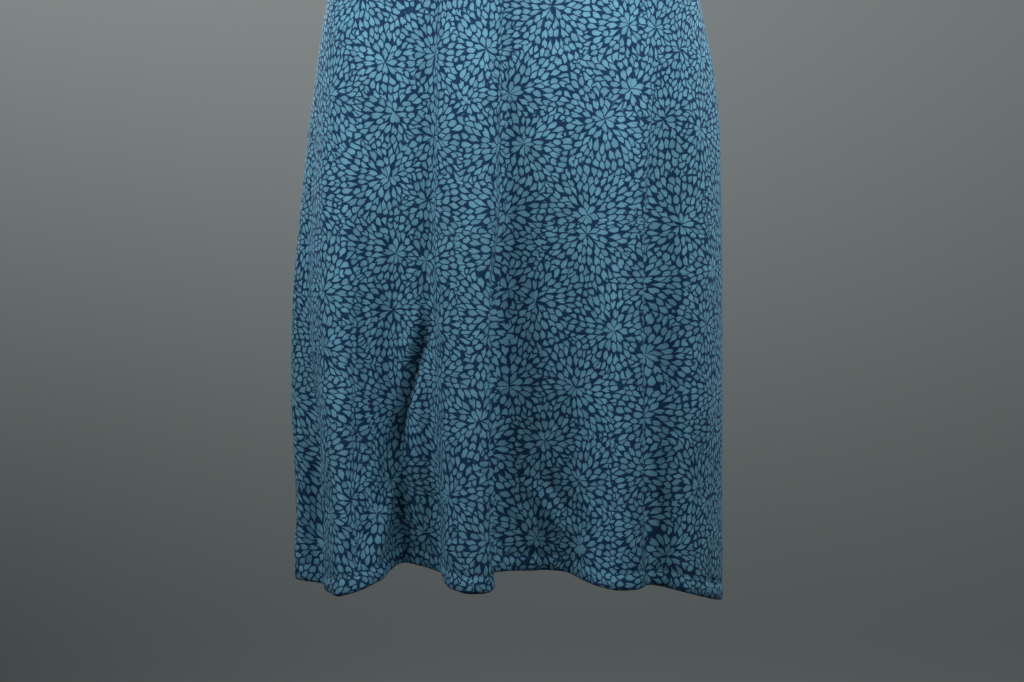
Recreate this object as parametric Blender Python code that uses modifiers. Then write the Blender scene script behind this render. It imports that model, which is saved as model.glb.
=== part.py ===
"""A sleeveless tank dress in printed jersey, worn open and hollow.

The dress is one tube of cloth. Level sections give its outline from the front
and the side, and two tables of folds, front and back, give the hem that the
flared skirt falls into. The panels and the bindings are strips of that tube.
Metres, +Z up, the front towards -Y, the origin between the shoulders.
"""

import math
from collections import namedtuple

import bmesh
import bpy
import numpy as np

# Cloth and seams
PANEL_WALL = 0.0015  # printed jersey, as a wall with a body
BINDING_WALL = 0.0020  # self-fabric binding, folded over the raw edge
BINDING_WIDTH = 0.010
SEAM_GAP = 0.0003
FRONT, BACK = -1, 1

# Neck and armholes, measured across and down the cloth from the shoulder line
NECK_HALF_WIDTH = 0.078
NECK_DROP = {FRONT: 0.165, BACK: 0.075}
ARMHOLE_HALF_WIDTH = 0.115  # from the middle of the dress to the armhole's edge
ARMHOLE_DROP = 0.245
ARMHOLE_FULLNESS = 0.18  # how far it is cut in between the shoulder and the side seam
SHOULDER_SLOPE = 0.28
SHOULDER_REACH = 0.16  # how far down the cloth the slope dies out

# How round a level section is: 1 is an ellipse, less is squarer
SECTION_POWER = 0.90
SIDE_SAMPLES = 121

# Levels of the tube, from the shoulders to the hem: height, half widths to the
# left and right of the middle, and depths to the front and back
Section = namedtuple("Section", "name height left right front back")
SECTIONS = (
    Section("shoulder line", 0.000, 0.168, 0.168, 0.000, 0.000),
    Section("shoulder crown", -0.005, 0.168, 0.168, 0.020, 0.020),
    Section("shoulder", -0.019, 0.168, 0.168, 0.038, 0.040),
    Section("collar bone", -0.048, 0.168, 0.168, 0.053, 0.058),
    Section("upper chest", -0.095, 0.167, 0.167, 0.071, 0.074),
    Section("chest", -0.150, 0.166, 0.166, 0.096, 0.085),
    Section("under the arms", -0.210, 0.165, 0.165, 0.121, 0.091),
    Section("bust", -0.255, 0.163, 0.163, 0.129, 0.089),
    Section("under the bust", -0.315, 0.156, 0.156, 0.114, 0.082),
    Section("waist", -0.385, 0.161, 0.163, 0.107, 0.087),
    Section("below the waist", -0.454, 0.174, 0.177, 0.113, 0.103),
    Section("high hip", -0.549, 0.189, 0.194, 0.119, 0.121),
    Section("hip", -0.644, 0.199, 0.198, 0.117, 0.119),
    Section("thigh", -0.739, 0.207, 0.199, 0.111, 0.113),
    Section("knee", -0.834, 0.208, 0.199, 0.106, 0.108),
    Section("above the hem", -0.929, 0.204, 0.199, 0.102, 0.104),
    Section("hem", -1.000, 0.204, 0.199, 0.100, 0.102),
)

# The hem's ridges and valleys from the left side seam to the right one. top is
# the share of the half girth, from the middle of the panel, where a fold's line
# leaves the smooth bodice; start is the height where it begins; sway is how far
# it leans to one side half way down.
Fold = namedtuple("Fold", "name top start sway x y height")
LEFT_SEAM = Fold("left side seam", -1.00, -0.58, 0.000, -0.204, 0.000, -1.002)
RIGHT_SEAM = Fold("right side seam", 1.00, -0.58, 0.000, 0.199, 0.000, -1.022)
FOLDS = {
    FRONT: (
        LEFT_SEAM,
        Fold("left roll", -0.930, -0.58, 0.000, -0.197, -0.036, -1.001),
        Fold("left groove", -0.870, -0.55, 0.000, -0.179, -0.041, -1.003),
        Fold("left ridge, outer side", -0.790, -0.48, 0.000, -0.169, -0.092, -1.005),
        Fold("left ridge", -0.730, -0.46, 0.002, -0.154, -0.122, -1.006),
        Fold("left ridge, inner side", -0.660, -0.46, 0.000, -0.140, -0.118, -1.003),
        Fold("long slope", -0.530, -0.46, -0.004, -0.118, -0.094, -0.995),
        Fold("deep valley", -0.400, -0.44, -0.014, -0.094, -0.064, -0.982),
        Fold("deep valley, far side", -0.315, -0.34, -0.006, -0.065, -0.070, -0.986),
        Fold("main pleat, left side", -0.262, -0.30, 0.000, -0.058, -0.116, -0.999),
        Fold("main pleat", -0.160, -0.30, 0.000, -0.036, -0.133, -1.003),
        Fold("main pleat, right side", -0.062, -0.30, 0.000, -0.018, -0.126, -1.002),
        Fold("middle of the front", 0.000, -0.34, 0.000, -0.012, -0.088, -0.989),
        Fold("wide valley", 0.090, -0.38, 0.000, 0.018, -0.076, -0.988),
        Fold("wide valley, far side", 0.190, -0.44, 0.000, 0.046, -0.080, -0.988),
        Fold("right ridge, rise", 0.300, -0.46, 0.000, 0.072, -0.104, -0.997),
        Fold("right ridge", 0.410, -0.46, 0.000, 0.095, -0.123, -1.001),
        Fold("right ridge, outer side", 0.485, -0.46, 0.000, 0.111, -0.117, -1.001),
        Fold("right groove", 0.565, -0.50, 0.000, 0.128, -0.086, -1.000),
        Fold("corner ridge", 0.700, -0.54, 0.000, 0.160, -0.089, -1.007),
        Fold("corner ridge, outer side", 0.860, -0.58, 0.000, 0.187, -0.050, -1.017),
        RIGHT_SEAM,
    ),
    BACK: (
        LEFT_SEAM,
        Fold("back left roll", -0.890, -0.58, 0.000, -0.192, 0.040, -1.000),
        Fold("back left groove", -0.800, -0.54, 0.002, -0.172, 0.048, -0.995),
        Fold("back left ridge", -0.660, -0.48, 0.004, -0.152, 0.094, -0.999),
        Fold("back left ridge, inner side", -0.560, -0.48, 0.000, -0.130, 0.092, -0.997),
        Fold("back left valley", -0.440, -0.50, -0.006, -0.106, 0.063, -0.989),
        Fold("back pleat, left side", -0.330, -0.40, -0.004, -0.086, 0.110, -0.997),
        Fold("back pleat", -0.230, -0.36, 0.000, -0.064, 0.122, -0.998),
        Fold("back pleat, right side", -0.130, -0.38, 0.003, -0.044, 0.082, -0.992),
        Fold("middle of the back", 0.000, -0.46, 0.005, -0.014, 0.068, -0.989),
        Fold("back middle ridge", 0.130, -0.50, 0.004, 0.014, 0.112, -0.996),
        Fold("back middle ridge, right side", 0.220, -0.50, 0.000, 0.036, 0.106, -0.995),
        Fold("back wide valley", 0.340, -0.48, -0.004, 0.060, 0.070, -0.989),
        Fold("back right ridge", 0.470, -0.44, 0.000, 0.092, 0.116, -0.999),
        Fold("back right ridge, right side", 0.570, -0.46, 0.000, 0.114, 0.100, -0.998),
        Fold("back right groove", 0.670, -0.50, 0.000, 0.134, 0.062, -0.996),
        Fold("back corner ridge", 0.800, -0.54, 0.000, 0.168, 0.070, -1.006),
        Fold("back corner ridge, outer side", 0.910, -0.58, 0.000, 0.190, 0.036, -1.014),
        RIGHT_SEAM,
    ),
}
SWAY_HEIGHT, SWAY_SPAN = -0.86, 0.14  # where the folds lean most, and over how far
FOLD_GROWTH = 0.9  # how a fold deepens from its start to the hem: 1 is evenly
DROP_GROWTH = 1.8  # the hem's ups and downs die out faster than the folds do

# Mesh density
STEPS_PER_FOLD = 3
SKIRT_ROWS = 14
BODY_ROWS = 7
BODICE_ROWS = 12
BINDING_ROWS = 3
SEAM_EDGE = 0.002  # a narrow strip beside each seam keeps its edge square

PRINT_COLOUR = (0.060, 0.118, 0.165, 1.0)
BINDING_COLOUR = (0.055, 0.110, 0.155, 1.0)
CLOTH_ROUGHNESS = 0.88


def smooth(knots, values, at, first=None, last=None):
    """A smooth curve through values at knots, with its end slopes if they are given."""
    knots, values = np.asarray(knots, float), np.asarray(values, float)
    slopes = np.diff(values) / np.diff(knots)
    spans = np.diff(knots)
    inner = (slopes[:-1] * spans[1:] + slopes[1:] * spans[:-1]) / (spans[:-1] + spans[1:])
    first = slopes[0] if first is None else first
    last = slopes[-1] if last is None else last
    tangents = np.concatenate(([first], inner, [last]))
    i = np.clip(np.searchsorted(knots, at, side="right") - 1, 0, len(spans) - 1)
    t = np.clip((at - knots[i]) / spans[i], 0.0, 1.0)
    rise = values[i] * (1 + 2 * t) * (1 - t) ** 2 + values[i + 1] * t * t * (3 - 2 * t)
    turn = tangents[i] * t * (1 - t) ** 2 + tangents[i + 1] * t * t * (t - 1)
    return rise + spans[i] * turn


def distances_down():
    """Distance down the cloth from the shoulder line to each section."""
    down = [0.0]
    for above, below in zip(SECTIONS, SECTIONS[1:]):
        deeper = (below.front + below.back - above.front - above.back) / 2
        down.append(down[-1] + math.hypot(below.height - above.height, deeper))
    return down


DOWN = distances_down()
HEM_DOWN = DOWN[-1]
HIP_DOWN = DOWN[[s.name for s in SECTIONS].index("below the waist")]


def level(name, down):
    """One measure of the tube at a distance down the cloth, level over the shoulders."""
    values = [getattr(s, name) for s in SECTIONS]
    return float(smooth(DOWN, values, down, first=0.0 if name == "height" else None))


def half_ring(face, down):
    """The front or back half of a level section: x, y and the share of its girth."""
    turn = np.linspace(-math.pi / 2, math.pi / 2, SIDE_SAMPLES)
    half_width = np.where(turn < 0, level("left", down), level("right", down))
    depth = level("front" if face == FRONT else "back", down)
    x = half_width * np.sign(np.sin(turn)) * np.abs(np.sin(turn)) ** SECTION_POWER
    y = face * max(depth, 0.0) * np.abs(np.cos(turn)) ** SECTION_POWER
    along = np.concatenate(([0.0], np.cumsum(np.hypot(np.diff(x), np.diff(y)))))
    along -= along[SIDE_SAMPLES // 2]
    share = np.where(along < 0, along / -along[0], along / along[-1])
    return x, y, share


def share_of(face, x, down):
    """The share of the half girth at which the tube is x from the middle."""
    ring_x, _, share = half_ring(face, down)
    return float(np.interp(x, ring_x, share))


def tube_point(face, share, down):
    """A point on the smooth tube, with the shoulders sloped."""
    ring_x, ring_y, ring_share = half_ring(face, down)
    x = float(np.interp(share, ring_share, ring_x))
    y = float(np.interp(share, ring_share, ring_y))
    fade = max(0.0, 1.0 - down / SHOULDER_REACH) ** 2
    slope = SHOULDER_SLOPE * max(0.0, abs(x) - NECK_HALF_WIDTH) * fade
    return np.array((x, y, level("height", down) - slope))


def hem_lengths(folds):
    """Distance along the hem from the left side seam to each fold."""
    along = [0.0]
    for a, b in zip(folds, folds[1:]):
        along.append(along[-1] + math.hypot(b.x - a.x, b.y - a.y))
    return along


def fold_offset(face, along, height):
    """How far the folds move a point of the smooth tube at a distance along the hem."""
    folds = FOLDS[face]
    knots = hem_lengths(folds)

    def column(name, end_slope=None):
        values = [getattr(f, name) for f in folds]
        return float(smooth(knots, values, along, end_slope, end_slope))

    start = float(np.interp(along, knots, [f.start for f in folds]))
    grown = (start - height) / (start - SECTIONS[-1].height)
    if grown <= 0.0:
        return np.zeros(3)
    grown = min(grown, 1.0)
    hem = tube_point(face, column("top"), HEM_DOWN)
    lean = column("sway") * math.exp(-(((height - SWAY_HEIGHT) / SWAY_SPAN) ** 2))
    across = (column("x", end_slope=0.0) - hem[0]) * grown**FOLD_GROWTH + lean
    outward = (column("y") - hem[1]) * grown**FOLD_GROWTH
    drop = (column("height", end_slope=0.0) - hem[2]) * grown**DROP_GROWTH
    return np.array((across, outward, drop))


def cloth_point(face, along, share, down):
    """A point of the dress: the smooth tube with its folds."""
    point = tube_point(face, share, down)
    return point + fold_offset(face, along, point[2])


def neck_edge(face, angle, inset):
    """Share and distance down of a point on the neckline, 0 at its lowest point."""
    down = (NECK_DROP[face] - inset) * math.cos(angle)
    x = (NECK_HALF_WIDTH - inset) * math.sin(angle)
    return share_of(face, x, down), down


def armhole_edge(face, angle, inset):
    """Share and distance down of a point on the armhole, 0 at the side seam."""
    down = (ARMHOLE_DROP - inset) * math.cos(angle)
    reach = share_of(face, ARMHOLE_HALF_WIDTH + inset, down)
    cut_in = math.sin(angle) * (1.0 + ARMHOLE_FULLNESS * math.sin(2.0 * angle))
    return 1.0 - (1.0 - reach) * cut_in, down


def opening_angles(face):
    """Angles of the rows round the armhole, from the side seam, and round the neck, from
    its lowest point, each ending at the shoulder seam."""
    last = math.pi / 2
    rise = ARMHOLE_DROP - NECK_DROP[face]
    curve = last * math.hypot(NECK_DROP[face], NECK_HALF_WIDTH) / math.sqrt(2)
    curved_rows = round(BODICE_ROWS * curve / (rise + curve))
    armhole = [last * i / BODICE_ROWS for i in range(BODICE_ROWS)]
    neck = [last * i / curved_rows for i in range(curved_rows)]
    armhole += [last - SEAM_EDGE / ARMHOLE_DROP, last]
    neck += [last - SEAM_EDGE / NECK_DROP[face], last]
    return armhole, neck


def panel_rows(face):
    """Rows of a half panel, hem first: share and distance down at its outer and inner end."""
    rows = []
    for i in range(SKIRT_ROWS):
        down = HEM_DOWN + (HIP_DOWN - HEM_DOWN) * i / SKIRT_ROWS
        rows.append((1.0, down, 0.0, down))
    for i in range(BODY_ROWS):
        down = HIP_DOWN + (ARMHOLE_DROP - HIP_DOWN) * i / BODY_ROWS
        rows.append((1.0, down, 0.0, down))
    armhole, neck = opening_angles(face)
    straight_rows = len(armhole) - len(neck)
    for i, angle in enumerate(armhole):
        inner = 0.0, ARMHOLE_DROP + (NECK_DROP[face] - ARMHOLE_DROP) * i / straight_rows
        if i >= straight_rows:
            inner = neck_edge(face, neck[i - straight_rows], 0.0)
        rows.append(armhole_edge(face, angle, 0.0) + inner)
    return rows


def panel_columns(folds):
    """Columns of a panel: distance along the hem, and the one it joins above the hip."""
    knots = hem_lengths(folds)
    beside = SEAM_EDGE, knots[-1] - SEAM_EDGE
    columns = [(knots[0], knots[0]), (beside[0], beside[0])]
    for a, b in zip(knots, knots[1:]):
        for step in range(STEPS_PER_FOLD):
            along = a + (b - a) * step / STEPS_PER_FOLD
            joins = a if step <= STEPS_PER_FOLD // 2 else b
            columns.append((along, min(max(joins, beside[0]), beside[1])))
    del columns[2]
    return columns + [(beside[1], beside[1]), (knots[-1], knots[-1])]


def shell(name, bm, wall, colour):
    """A piece of cloth: its middle surface, given a wall by Solidify."""
    bmesh.ops.remove_doubles(bm, verts=bm.verts, dist=0.00001)
    mesh = bpy.data.meshes.new(name)
    bm.to_mesh(mesh)
    bm.free()
    mesh.shade_smooth()
    material = bpy.data.materials.new(name)
    material.use_nodes = True
    surface = material.node_tree.nodes["Principled BSDF"]
    surface.inputs["Base Color"].default_value = colour
    surface.inputs["Roughness"].default_value = CLOTH_ROUGHNESS
    surface.inputs["Metallic"].default_value = 0.0
    mesh.materials.append(material)
    piece = bpy.data.objects.new(name, mesh)
    dress.objects.link(piece)
    solidify = piece.modifiers.new("cloth wall", "SOLIDIFY")
    solidify.thickness = wall
    solidify.offset = 0.0
    return piece


def grid(bm, columns, rows, place):
    """A grid of cells, each corner moved to place(column, row)."""
    made = bmesh.ops.create_grid(bm, x_segments=columns, y_segments=rows, size=1.0)
    for vert in made["verts"]:
        column = round((vert.co.x + 1.0) / 2.0 * columns)
        row = round((vert.co.y + 1.0) / 2.0 * rows)
        vert.co = place(column, row)


def panel(name, face):
    """The front or the back: two halves of one cloth, joined down the middle to the neck."""
    folds = FOLDS[face]
    knots = hem_lengths(folds)
    tops = [f.top for f in folds]
    middle = knots[tops.index(0.0)]
    every_column = panel_columns(folds)
    rows = panel_rows(face)
    bm = bmesh.new()
    for side in (-1, 1):
        columns = [c for c in every_column if (c[0] - middle) * side >= 0.0]

        def place(column, row):
            along = columns[column][0 if row <= SKIRT_ROWS else 1]
            across = abs(float(smooth(knots, tops, along)))
            outer_share, outer_down, inner_share, inner_down = rows[row]
            share = inner_share + (outer_share - inner_share) * across
            down = inner_down + (outer_down - inner_down) * across
            point = cloth_point(face, along, share * side, down)
            point[1] += face * SEAM_GAP / 2
            return point

        grid(bm, len(columns) - 1, len(rows) - 1, place)
    return shell(name, bm, PANEL_WALL, PRINT_COLOUR)


def binding(name, edge, stretches):
    """A ring of binding just inside an opening. A stretch is a face and a side of the
    dress, with the angles of that part of the opening's edge in order round it."""
    stops = [(face, side, a) for face, side, angles in stretches for a in angles[:-1]]

    def place(column, row):
        face, side, angle = stops[column % len(stops)]
        inset = SEAM_GAP + (BINDING_WIDTH - SEAM_GAP) * row / BINDING_ROWS
        share, down = edge(face, angle, inset)
        return tube_point(face, share * side, down)

    bm = bmesh.new()
    grid(bm, len(stops), BINDING_ROWS, place)
    return shell(name, bm, BINDING_WALL, BINDING_COLOUR)


for old in list(bpy.data.objects):
    bpy.data.objects.remove(old, do_unlink=True)
dress = bpy.data.collections.new("tank_dress")
bpy.context.scene.collection.children.link(dress)

panel("front_panel", FRONT)
panel("back_panel", BACK)
front_armhole, front_neck = opening_angles(FRONT)
back_armhole, back_neck = opening_angles(BACK)
binding(
    "neck_binding",
    neck_edge,
    (
        (FRONT, -1, front_neck[::-1]),
        (FRONT, 1, front_neck),
        (BACK, 1, back_neck[::-1]),
        (BACK, -1, back_neck),
    ),
)
for side, name in ((-1, "armhole_binding_left"), (1, "armhole_binding_right")):
    round_the_arm = ((FRONT, side, front_armhole[::-1]), (BACK, side, back_armhole))
    binding(name, armhole_edge, round_the_arm)
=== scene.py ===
import math
from collections import namedtuple

import bmesh
import bpy
import numpy as np
from mathutils import Matrix, Vector, noise


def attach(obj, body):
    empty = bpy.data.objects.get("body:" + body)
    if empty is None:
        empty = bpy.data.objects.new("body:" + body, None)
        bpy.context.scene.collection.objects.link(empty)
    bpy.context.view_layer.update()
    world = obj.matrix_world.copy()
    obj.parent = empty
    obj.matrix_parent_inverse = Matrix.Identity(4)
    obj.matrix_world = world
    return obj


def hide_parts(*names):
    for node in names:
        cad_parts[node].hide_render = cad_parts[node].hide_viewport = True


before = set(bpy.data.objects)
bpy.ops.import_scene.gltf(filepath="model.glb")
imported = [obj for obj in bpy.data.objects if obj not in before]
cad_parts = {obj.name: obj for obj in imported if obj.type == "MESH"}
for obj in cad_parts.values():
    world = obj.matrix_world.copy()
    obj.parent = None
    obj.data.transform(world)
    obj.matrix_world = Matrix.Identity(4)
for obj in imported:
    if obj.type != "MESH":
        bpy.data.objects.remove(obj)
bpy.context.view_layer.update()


# ---------------------------------------------- front panel
# The whole front is one piece of printed viscose jersey, cut from the shoulders
# to the hem and flared below the waist. It hangs from the shoulders and falls
# into soft folds, and its hem is turned up inside and stitched.

FRONT, BACK = -1, 1
QUARTER = math.pi / 2
CLOTH_THICKNESS = 0.0009
SEAM_GAP = 0.0003
NECK_HALF_WIDTH = 0.078
NECK_DROP = {FRONT: 0.165, BACK: 0.075}
ARMHOLE_HALF_WIDTH = 0.115
ARMHOLE_DROP = 0.245
ARMHOLE_FULLNESS = 0.18
SHOULDER_SLOPE = 0.28
SHOULDER_REACH = 0.16
SECTION_POWER = 0.90
SIDE_SAMPLES = 121

# Levels of the dress, from the shoulders to the hem: height, half widths to the
# left and right of the middle, and depths to the front and back
Section = namedtuple("Section", "name height left right front back")
SECTIONS = (
    Section("shoulder line", 0.000, 0.168, 0.168, 0.000, 0.000),
    Section("shoulder crown", -0.005, 0.168, 0.168, 0.020, 0.020),
    Section("shoulder", -0.019, 0.168, 0.168, 0.038, 0.040),
    Section("collar bone", -0.048, 0.168, 0.168, 0.053, 0.058),
    Section("upper chest", -0.095, 0.167, 0.167, 0.071, 0.074),
    Section("chest", -0.150, 0.166, 0.166, 0.096, 0.085),
    Section("under the arms", -0.210, 0.165, 0.165, 0.121, 0.091),
    Section("bust", -0.255, 0.163, 0.163, 0.129, 0.089),
    Section("under the bust", -0.315, 0.156, 0.156, 0.114, 0.082),
    Section("waist", -0.385, 0.161, 0.163, 0.107, 0.087),
    Section("below the waist", -0.454, 0.174, 0.177, 0.113, 0.103),
    Section("high hip", -0.549, 0.189, 0.194, 0.119, 0.121),
    Section("hip", -0.644, 0.199, 0.198, 0.117, 0.119),
    Section("thigh", -0.739, 0.207, 0.199, 0.111, 0.113),
    Section("knee", -0.834, 0.208, 0.199, 0.106, 0.108),
    Section("above the hem", -0.929, 0.204, 0.199, 0.102, 0.104),
    Section("hem", -1.000, 0.204, 0.199, 0.100, 0.102),
)

# The hem's ridges and valleys from the left side seam to the right one. top is
# the share of the half girth where a fold's line leaves the smooth bodice, start
# the height where it begins, and sway how far it leans half way down
Fold = namedtuple("Fold", "name top start sway x y height")
LEFT_SEAM = Fold("left side seam", -1.00, -0.58, 0.000, -0.204, 0.000, -1.002)
RIGHT_SEAM = Fold("right side seam", 1.00, -0.58, 0.000, 0.199, 0.000, -1.022)
FOLDS = {
    FRONT: (
        LEFT_SEAM,
        Fold("left roll", -0.930, -0.58, 0.000, -0.197, -0.036, -1.001),
        Fold("left groove", -0.870, -0.55, 0.000, -0.179, -0.041, -1.003),
        Fold("left ridge, outer side", -0.790, -0.48, 0.000, -0.169, -0.092, -1.005),
        Fold("left ridge", -0.730, -0.46, 0.002, -0.154, -0.122, -1.006),
        Fold("left ridge, inner side", -0.660, -0.46, 0.000, -0.140, -0.118, -1.003),
        Fold("long slope", -0.530, -0.46, -0.004, -0.118, -0.094, -0.995),
        Fold("deep valley", -0.400, -0.44, -0.014, -0.094, -0.064, -0.982),
        Fold("deep valley, far side", -0.315, -0.34, -0.006, -0.067, -0.079, -0.988),
        Fold("main pleat, left side", -0.262, -0.30, 0.000, -0.058, -0.116, -0.999),
        Fold("main pleat", -0.160, -0.30, 0.000, -0.036, -0.133, -1.003),
        Fold("main pleat, right side", -0.062, -0.30, 0.000, -0.018, -0.126, -1.002),
        Fold("middle of the front", 0.000, -0.34, 0.000, -0.012, -0.088, -0.989),
        Fold("wide valley", 0.090, -0.38, 0.000, 0.018, -0.076, -0.988),
        Fold("wide valley, far side", 0.190, -0.44, 0.000, 0.046, -0.080, -0.988),
        Fold("right ridge, rise", 0.300, -0.46, 0.000, 0.072, -0.104, -0.997),
        Fold("right ridge", 0.410, -0.46, 0.000, 0.095, -0.123, -1.001),
        Fold("right ridge, outer side", 0.485, -0.46, 0.000, 0.111, -0.117, -1.001),
        Fold("right groove", 0.565, -0.50, 0.000, 0.128, -0.086, -1.000),
        Fold("corner ridge", 0.700, -0.54, 0.000, 0.160, -0.089, -1.007),
        Fold("corner ridge, outer side", 0.860, -0.58, 0.000, 0.187, -0.050, -1.017),
        RIGHT_SEAM,
    ),
}
SWAY_HEIGHT, SWAY_SPAN = -0.86, 0.14
FOLD_GROWTH = 0.9
DROP_GROWTH = 1.8

# Smaller creases on the big folds, from their upper to their lower end, seen from
# outside. A ridge has a height above 0 and a trough below 0; left and right are how
# wide it falls away on each side
Crease = namedtuple("Crease", "name x1 z1 x2 z2 left right height")
CREASES = {
    FRONT: (
        Crease("fold over the left lobe", -0.0780, -0.762, -0.1105, -0.880, 0.0030, 0.0080, -0.0096),
        Crease("lip of the left lobe", -0.0835, -0.755, -0.1165, -0.880, 0.010, 0.0035, 0.0040),
        Crease("recess below the fold", -0.103, -0.850, -0.099, -0.990, 0.008, 0.009, -0.0052),
        Crease("swell beside the recess", -0.086, -0.850, -0.084, -0.995, 0.012, 0.012, 0.0040),
        Crease("swell in the deep valley", -0.084, -0.580, -0.088, -0.930, 0.020, 0.013, 0.0060),
        Crease("left edge groove", -0.182, -0.800, -0.180, -0.985, 0.007, 0.006, -0.0045),
        Crease("bright strip", -0.148, -0.560, -0.152, -0.985, 0.007, 0.007, 0.0030),
        Crease("beside the strip", -0.137, -0.570, -0.138, -0.985, 0.010, 0.013, -0.0084),
        Crease("short trough", -0.130, -0.665, -0.119, -0.785, 0.007, 0.010, -0.0018),
        Crease("lip near the hem", -0.108, -0.895, -0.124, -0.975, 0.003, 0.006, 0.0040),
        Crease("trough by the lip", -0.118, -0.905, -0.134, -0.985, 0.007, 0.004, -0.0024),
        Crease("hip pull, left", -0.165, -0.470, -0.120, -0.560, 0.012, 0.012, 0.0016),
        Crease("left of the pleat, upper", -0.077, -0.420, -0.075, -0.780, 0.012, 0.007, -0.0030),
        Crease("left of the pleat, lower", -0.067, -0.740, -0.065, -0.990, 0.010, 0.005, -0.0022),
        Crease("right lip of the pleat", -0.0235, -0.620, -0.0215, -0.990, 0.010, 0.0040, 0.0026),
        Crease("right of the pleat, upper", -0.010, -0.420, -0.009, -0.800, 0.007, 0.014, -0.0024),
        Crease("right of the pleat, lower", -0.0145, -0.690, -0.0135, -0.998, 0.0055, 0.014, -0.0084),
        Crease("swell in the wide valley", 0.030, -0.580, 0.034, -0.830, 0.016, 0.014, 0.0045),
        Crease("valley wrinkle", 0.012, -0.905, 0.051, -0.953, 0.006, 0.006, 0.0020),
        Crease("trough by the wrinkle", 0.021, -0.893, 0.066, -0.951, 0.006, 0.007, -0.0020),
        Crease("valley ridge", 0.036, -0.800, 0.010, -0.930, 0.010, 0.014, 0.0020),
        Crease("foot of the right ridge", 0.080, -0.780, 0.083, -0.985, 0.013, 0.010, -0.0045),
        Crease("right soft ridge", 0.120, -0.520, 0.131, -0.760, 0.009, 0.012, 0.0022),
        Crease("right of the right ridge", 0.1235, -0.600, 0.1235, -0.992, 0.0035, 0.011, -0.0078),
        Crease("beside the right ridge", 0.129, -0.550, 0.130, -0.840, 0.004, 0.017, -0.0070),
        Crease("right soft trough", 0.142, -0.560, 0.150, -0.860, 0.010, 0.014, -0.0026),
        Crease("corner wrinkle", 0.172, -0.860, 0.150, -0.975, 0.008, 0.012, -0.0026),
        Crease("bust pull, left", -0.150, -0.262, -0.088, -0.240, 0.010, 0.012, 0.0022),
        Crease("bust pull, right", 0.150, -0.262, 0.092, -0.236, 0.012, 0.010, 0.0022),
        Crease("waist fold, left", -0.128, -0.330, -0.060, -0.372, 0.012, 0.014, 0.0026),
        Crease("waist fold, right", 0.132, -0.344, 0.055, -0.385, 0.014, 0.012, 0.0026),
        Crease("waist trough", -0.110, -0.392, 0.010, -0.412, 0.014, 0.014, -0.0020),
        Crease("chest slack", -0.040, -0.190, 0.034, -0.205, 0.012, 0.014, 0.0014),
    ),
}

# The turned-up hem, and the rows of the cloth above its edge
HEM_TURN = 0.015
HEM_LAYERS_APART = 0.0013
HEM_ROWS = (0.0, 0.0012, 0.0035, 0.0065, 0.0095, 0.0125, 0.0150, 0.0170, 0.0200, 0.0240)
STITCH_ROW = HEM_ROWS.index(HEM_TURN)
COLUMN_WIDTH = 0.0031
SKIRT_ROWS = 104
BODY_ROWS = 44
BODICE_ROWS = 50

# The seam allowances: how far their rows reach past the seam, on the dress and on
# the flat cloth, and how far off the seam's middle the edge and the rows lie
ALLOWANCE_ROWS = (0.0008, 0.0035, 0.007)
ALLOWANCE_CUT = (0.001, 0.004, 0.007)
SEAM_EDGE_OUT = 0.0010
ALLOWANCE_OUT = 0.0005


def run_along(points):
    """How far along its line each point lies, from the first one."""
    steps = np.linalg.norm(np.diff(points, axis=-2), axis=-1)
    start = np.zeros(steps.shape[:-1] + (1,))
    return np.concatenate((start, np.cumsum(steps, axis=-1)), axis=-1)


def smooth(knots, values, at, first=None, last=None):
    """A smooth curve through values at knots, with its end slopes if they are given."""
    knots, values = np.asarray(knots, float), np.asarray(values, float)
    slopes = np.diff(values) / np.diff(knots)
    spans = np.diff(knots)
    inner = (slopes[:-1] * spans[1:] + slopes[1:] * spans[:-1]) / (spans[:-1] + spans[1:])
    first = slopes[0] if first is None else first
    last = slopes[-1] if last is None else last
    tangents = np.concatenate(([first], inner, [last]))
    i = np.clip(np.searchsorted(knots, at, side="right") - 1, 0, len(spans) - 1)
    t = np.clip((at - knots[i]) / spans[i], 0.0, 1.0)
    rise = values[i] * (1 + 2 * t) * (1 - t) ** 2 + values[i + 1] * t * t * (3 - 2 * t)
    turn = tangents[i] * t * (1 - t) ** 2 + tangents[i + 1] * t * t * (t - 1)
    return rise + spans[i] * turn


# Distance down the cloth from the shoulder line to each section
DOWN = run_along([(s.height, (s.front + s.back) / 2) for s in SECTIONS])
HEM_DOWN = DOWN[-1]
HIP_DOWN = DOWN[[s.name for s in SECTIONS].index("below the waist")]


def level(name, down):
    """One measure of the dress at distances down the cloth."""
    values = [getattr(s, name) for s in SECTIONS]
    return smooth(DOWN, values, down, first=0.0 if name == "height" else None)


def half_rings(face, down):
    """Front or back halves of level sections, a row for each: x, y and length from
    the middle."""
    turn = np.linspace(-QUARTER, QUARTER, SIDE_SAMPLES)
    down = np.reshape(down, (-1, 1))
    half_width = np.where(turn < 0, level("left", down), level("right", down))
    depth = np.maximum(level("front" if face == FRONT else "back", down), 0.0)
    x = half_width * np.sign(np.sin(turn)) * np.abs(np.sin(turn)) ** SECTION_POWER
    y = face * depth * np.abs(np.cos(turn)) ** SECTION_POWER
    length = run_along(np.stack((x, y), axis=-1))
    return x, y, length - length[:, SIDE_SAMPLES // 2, None]


def shares(length):
    """Lengths from the middle as shares of the half girth, from -1 to 1."""
    return np.where(length < 0, length / -length[:, :1], length / length[:, -1:])


def read_rows(at, knots, values):
    """Each row's value at its own place."""
    return np.array([np.interp(a, k, v) for a, k, v in zip(at, knots, values)])


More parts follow.
